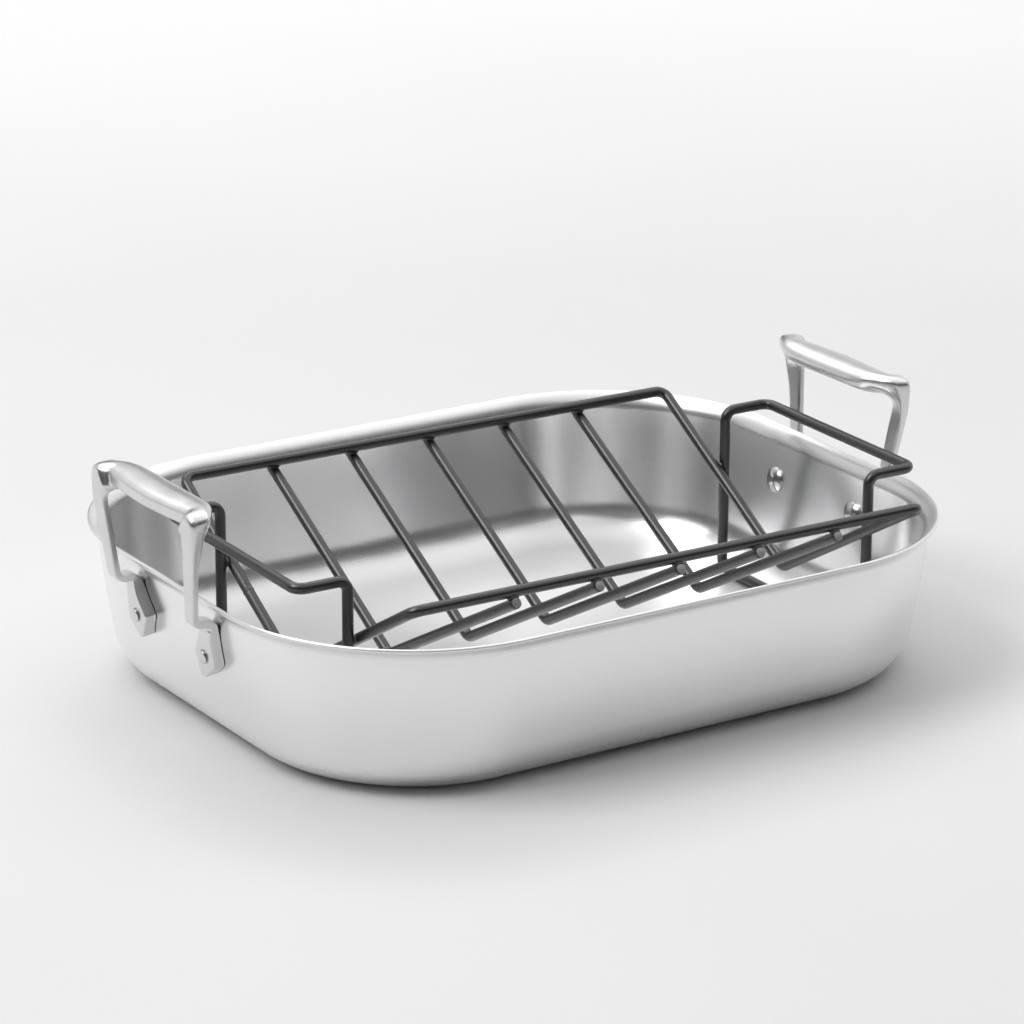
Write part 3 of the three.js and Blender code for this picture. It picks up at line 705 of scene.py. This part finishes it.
class NodeWork:
    """Short calls for the nodes that the finishes and the room share."""

    def __init__(self, tree):
        self.nodes = tree.nodes
        self.links = tree.links
        self.place = self.nodes.new("ShaderNodeTexCoord")

    def axes(self, source):
        """The three numbers of a coordinate."""
        node = self.nodes.new("ShaderNodeSeparateXYZ")
        self.links.new(self.place.outputs[source], node.inputs["Vector"])
        return [node.outputs[axis] for axis in "XYZ"]

    def maths(self, operation, first, second):
        """One operation on two values, each a socket or a plain number."""
        node = self.nodes.new("ShaderNodeMath")
        node.operation = operation
        for socket, value in zip(node.inputs, (first, second)):
            if isinstance(value, (int, float)):
                socket.default_value = value
            else:
                self.links.new(value, socket)
        return node.outputs[0]

    def ramp(self, value, span, out, shape="LINEAR"):
        """A value's way over a span turned into the way from one number to another, held at both ends."""
        node = self.nodes.new("ShaderNodeMapRange")
        node.interpolation_type = shape
        for socket, number in zip(("From Min", "From Max", "To Min", "To Max"), (*span, *out)):
            node.inputs[socket].default_value = number
        self.links.new(value, node.inputs["Value"])
        return node.outputs["Result"]

    def seen(self):
        """1 where the camera looks, straight, by gloss or through glass, and 0 for light on dull surfaces."""
        path = self.nodes.new("ShaderNodeLightPath")
        eye_or_gloss = self.maths("MAXIMUM", path.outputs["Is Camera Ray"], path.outputs["Is Glossy Ray"])
        return self.maths("MAXIMUM", eye_or_gloss, path.outputs["Is Transmission Ray"])


class Finish(NodeWork):
    """One material, with short calls for its patterns."""

    def __init__(self, name):
        self.material = bpy.data.materials.new(name)
        self.material.use_nodes = True
        super().__init__(self.material.node_tree)
        self.shader = self.nodes["Principled BSDF"]

    def noise(self, scale, detail, roughness, stretch=(1, 1, 1)):
        """Noise fixed to the object, finer along an axis by its stretch."""
        mapping = self.nodes.new("ShaderNodeMapping")
        mapping.inputs["Scale"].default_value = stretch
        self.links.new(self.place.outputs["Object"], mapping.inputs["Vector"])
        node = self.nodes.new("ShaderNodeTexNoise")
        node.inputs["Scale"].default_value = scale
        node.inputs["Detail"].default_value = detail
        node.inputs["Roughness"].default_value = roughness
        self.links.new(mapping.outputs["Vector"], node.inputs["Vector"])
        return node.outputs["Fac"]

    def tones(self, value, stops):
        """Colours between the given stops, each a position and a colour."""
        node = self.nodes.new("ShaderNodeValToRGB")
        ramp = node.color_ramp
        while len(ramp.elements) < len(stops):
            ramp.elements.new(0.5)
        for element, (position, colour) in zip(ramp.elements, stops):
            element.position = position
            element.color = (*colour, 1)
        self.links.new(value, node.inputs["Fac"])
        return node.outputs["Color"]

    def bump(self, height, distance, strength):
        """A normal tilted by a height pattern."""
        node = self.nodes.new("ShaderNodeBump")
        node.inputs["Distance"].default_value = distance
        node.inputs["Strength"].default_value = strength
        self.links.new(height, node.inputs["Height"])
        return node.outputs["Normal"]

    def into(self, socket, value):
        """A pattern linked to one of the shader's sockets, or a plain number set on it."""
        if isinstance(value, bpy.types.NodeSocket):
            self.links.new(value, self.shader.inputs[socket])
        else:
            self.shader.inputs[socket].default_value = value


def grey(level, blue=0.0):
    """A grey with a little extra blue."""
    return (level, level, level + blue)


def satin_sheet():
    """Brushed sheet: very fine level lines, faint clouds, a stretched sheen, a rougher floor and lip, and
    painted shade on the floor.
    """
    cloud_share, line_share = 0.8, 0.2
    # painted shade: how much darker the inside floor's colour is drawn than the wall's
    floor_painted_shade = (-0.3, 0)
    floor_to_wall_roughness = (0.44, 0.25)
    lip_roughness = (0, 0.14)
    rubbed_roughness = (-0.02, 0.02)
    finish = Finish("pan_brushed_steel")
    lines = finish.noise(scale=1.0, detail=2.0, roughness=0.5, stretch=(5, 5, 2400))
    clouds = finish.noise(scale=14.0, detail=3.0, roughness=0.5)
    height = finish.axes("Object")[2]
    shade = finish.maths("ADD", finish.maths("MULTIPLY", clouds, cloud_share),
                         finish.maths("MULTIPLY", lines, line_share))
    # painted shade: the colour darkens from the wall down the fillet onto the inside floor
    tone = finish.maths("ADD", shade, finish.ramp(height, FLOOR_TO_WALL, floor_painted_shade))
    stops = ((0, grey(0.83, SHEET_BLUE)), (0.3, grey(0.84, SHEET_BLUE)), (0.7, grey(0.88, SHEET_BLUE)))
    finish.into("Base Color", finish.tones(tone, stops))
    worn = finish.maths("ADD", finish.ramp(height, FLOOR_TO_WALL, floor_to_wall_roughness),
                        finish.ramp(shade, NOISE_SPREAD, rubbed_roughness))
    finish.into("Roughness", finish.maths("ADD", worn, finish.ramp(height, WALL_TO_LIP, lip_roughness)))
    finish.into("Metallic", 1.0)
    finish.into("Anisotropic", 0.5)
    tangent = finish.nodes.new("ShaderNodeTangent")
    tangent.direction_type = "UV_MAP"
    tangent.uv_map = "surface"
    finish.into("Tangent", tangent.outputs["Tangent"])
    return finish.material


def satin_casting():
    """Cast handle steel: an even satin, with faint rubbed patches and a fine grain in its sheen."""
    rubbed_roughness = (0.28, 0.34)
    grain_roughness = (-0.015, 0.015)
    finish = Finish("handle_cast_steel")
    grain = finish.noise(scale=900.0, detail=2.0, roughness=0.6)
    rubbed = finish.noise(scale=60.0, detail=3.0, roughness=0.5)
    finish.into("Base Color", finish.tones(rubbed, ((0.3, grey(0.68)), (0.7, grey(0.74)))))
    finish.into("Roughness", finish.maths("ADD", finish.ramp(rubbed, NOISE_SPREAD, rubbed_roughness),
                                          finish.ramp(grain, NOISE_SPREAD, grain_roughness)))
    finish.into("Metallic", 1.0)
    return finish.material


def polished_rivet():
    """Rivet steel: bright from the setting tool, with faint patches of wear."""
    worn_roughness = (0.16, 0.26)
    finish = Finish("rivet_steel")
    wear = finish.noise(scale=420.0, detail=3.0, roughness=0.6)
    finish.into("Base Color", finish.tones(wear, ((0.3, grey(0.62)), (0.7, grey(0.72)))))
    finish.into("Roughness", finish.ramp(wear, NOISE_SPREAD, worn_roughness))
    finish.into("Metallic", 1.0)
    finish.into("Normal", finish.bump(wear, distance=0.00005, strength=0.2))
    return finish.material


def rack_coat():
    """Dark baked coating on wire: a fine orange-peel skin, mottled a little greyer, with bare cut ends."""
    cut_end_to_wire = (-0.6, -0.4)
    bare_shade = (0.5, 0)
    peel_roughness = (0.28, 0.38)
    finish = Finish("rack_dark_coating")
    peel = finish.noise(scale=900.0, detail=2.0, roughness=0.5)
    mottle = finish.noise(scale=150.0, detail=4.0, roughness=0.6)
    round_wire = finish.axes("UV")[1]
    bare = finish.maths("ADD", mottle, finish.ramp(round_wire, cut_end_to_wire, bare_shade))
    stops = ((0.3, grey(0.006)), (0.75, grey(0.012)), (0.95, grey(0.32)))
    finish.into("Base Color", finish.tones(bare, stops))
    finish.into("Roughness", finish.ramp(peel, NOISE_SPREAD, peel_roughness))
    finish.into("Specular IOR Level", 1.0)
    finish.into("Normal", finish.bump(peel, distance=0.0001, strength=0.3))
    return finish.material


# Pieces on the frame

pan_steel = satin_sheet()
handle_steel = satin_casting()
rivet_steel = polished_rivet()
rack_coating = rack_coat()

make_piece("pan_shell", "pan_body", "pan", pan_steel, [(pan_grid(), False)])
for side_name, side in (("left", -1), ("right", 1)):
    make_piece(f"loop_handle_{side_name}", f"handle_{side_name}", "pan", handle_steel,
               [(handle_grid(side), False)])
    for end_name, end in (("front", -1), ("back", 1)):
        place_name = f"{side_name}_{end_name}"
        make_piece(f"handle_rivet_{place_name}", f"rivet_{place_name}", "pan", rivet_steel,
                   [(rivet_grid(side, end), False)])
    make_piece(f"wire_stand_{side_name}", f"rack_stand_{side_name}", "rack", rack_coating,
               stand_grids(side))
make_piece("wire_frame", "rack_frame", "rack", rack_coating, [(frame_grid(), True)])
for number in range(1, ROD_COUNT + 1):
    make_piece(f"wire_rod_{number}", f"rack_rod_{number}", "rack", rack_coating,
               rod_grids(number))


# Studio

def pale_floor():
    """A wide flat floor, a grid of two by two points far enough out to fill the view.

    Far from the pan, where the softboxes no longer reach, it stays pale to the eye and in reflections.
    """
    finish = Finish("pale_floor")
    mottle = finish.noise(scale=3.0, detail=4.0, roughness=0.5)
    finish.into("Base Color", finish.tones(mottle, ((0.3, grey(0.86)), (0.7, grey(0.88)))))
    finish.into("Roughness", 0.55)
    distance = finish.nodes.new("ShaderNodeVectorMath")
    distance.operation = "LENGTH"
    finish.links.new(finish.place.outputs["Object"], distance.inputs[0])
    far = finish.ramp(distance.outputs["Value"], FAR_FLOOR, (0, FAR_GLOW))
    finish.into("Emission Strength", finish.maths("MULTIPLY", finish.seen(), far))
    side = np.linspace(-FLOOR_HALF, FLOOR_HALF, 2)
    x, y = np.meshgrid(side, side)
    points = np.stack([x, y, np.full_like(x, FLOOR_Z)], axis=-1).reshape(-1, 3)
    mesh = bpy.data.meshes.new("floor")
    mesh.from_pydata(points.tolist(), [], [(0, 1, 3, 2)])
    mesh.materials.append(finish.material)
    floor = add_object("floor", mesh)


def soft_room():
    """A room that is white high up, at the back left and the back right, and dim low down elsewhere.

    It is dim straight overhead too, where the ceiling softbox hangs, and towards the front left. Gloss sees
    all of it, and dull surfaces are lit by about a third of it, because the softboxes add to that.
    """
    world = bpy.data.worlds.new("soft_room")
    world.use_nodes = True
    room = NodeWork(world.node_tree)
    x, y, z = room.axes("Generated")

    def eased(value, span, out):
        return room.ramp(value, span, out, "SMOOTHSTEP")

    above = eased(z, FROM_LOW, (ROOM_LOW, 1.0))
    overhead = eased(z, TO_OVERHEAD, (1.0, ROOM_OVERHEAD))
    front_left = eased(room.maths("ADD", x, y), FROM_FRONT_LEFT, (ROOM_FRONT_LEFT, 1.0))
    high_up = room.maths("MULTIPLY", room.maths("MULTIPLY", above, overhead), front_left)
    rightward = room.maths("ADD", x, room.maths("MULTIPLY", y, BACK_RIGHT_SLANT))
    back_right = eased(rightward, TO_BACK_RIGHT, (0, ROOM_BACK_RIGHT))
    backward = room.maths("SUBTRACT", y, room.maths("MULTIPLY", x, BACK_LEFT_SLANT))
    back_left = eased(backward, TO_BACK_LEFT, (0, ROOM_BACK_LEFT))
    light = room.maths("MAXIMUM", high_up, room.maths("MAXIMUM", back_right, back_left))
    share = room.maths("ADD", room.maths("MULTIPLY", room.seen(), 1 - ROOM_ON_DULL), ROOM_ON_DULL)
    background = room.nodes["Background"]
    room.links.new(room.maths("MULTIPLY", light, share), background.inputs["Strength"])
    background.inputs["Color"].default_value = (1, 1, 1, 1)
    bpy.context.scene.world = world


def posed(right, up, back, place):
    """The matrix whose columns are an object's three directions and its place."""
    pose = np.eye(4)
    pose[:3] = np.stack([right, up, back, place], axis=1)
    return Matrix(pose.tolist())


def softbox(name, place, target, width, height, power):
    """A rectangular lamp at a place, turned towards a target that is not exactly below it."""
    lamp = bpy.data.lights.new(name, "AREA")
    lamp.shape = "RECTANGLE"
    lamp.size = width
    lamp.size_y = height
    lamp.energy = power
    back = unit(np.array(place) - np.array(target))
    right = unit(np.cross((0.0, 0.0, 1.0), back))
    add_object(name, lamp).matrix_world = posed(right, np.cross(back, right), back, place)


def photo_camera():
    """The camera that was fitted to the picture: it looks at its target from a distance, rolled a little."""
    azimuth, elevation, roll = CAMERA_AZIMUTH, CAMERA_ELEVATION, CAMERA_ROLL
    level = np.array((math.cos(azimuth), math.sin(azimuth), 0.0))
    forward = np.array((-math.sin(azimuth), math.cos(azimuth), 0.0))
    back = -math.cos(elevation) * forward + math.sin(elevation) * np.array((0.0, 0.0, 1.0))
    upright = np.cross(back, level)
    right = math.cos(roll) * level + math.sin(roll) * upright
    up = -math.sin(roll) * level + math.cos(roll) * upright
    lens = bpy.data.cameras.new("photo_camera")
    lens.sensor_width = FILM_WIDTH
    lens.lens = FOCAL_PIXELS / PICTURE_PIXELS * FILM_WIDTH
    lens.clip_end = FAR_CLIP
    holder = add_object("photo_camera", lens)
    holder.matrix_world = posed(right, up, back, CAMERA_TARGET + back * CAMERA_DISTANCE)
    bpy.context.scene.camera = holder


pale_floor()
soft_room()
softbox("key_softbox", place=(-2.4, 0.6, 3.1), target=(0, 0, 0.05), width=2.2, height=2.2, power=72)
softbox("ceiling_softbox", place=(0.7, 0.0, 3.8), target=(0.5, -0.1, 0), width=6.6, height=6.6, power=130)
softbox("backdrop_softbox", place=(0.7, 2.0, 2.4), target=(0.75, 2.1, 0), width=2.4, height=1.4, power=19)
photo_camera()
bpy.context.scene.view_settings.view_transform = "Standard"
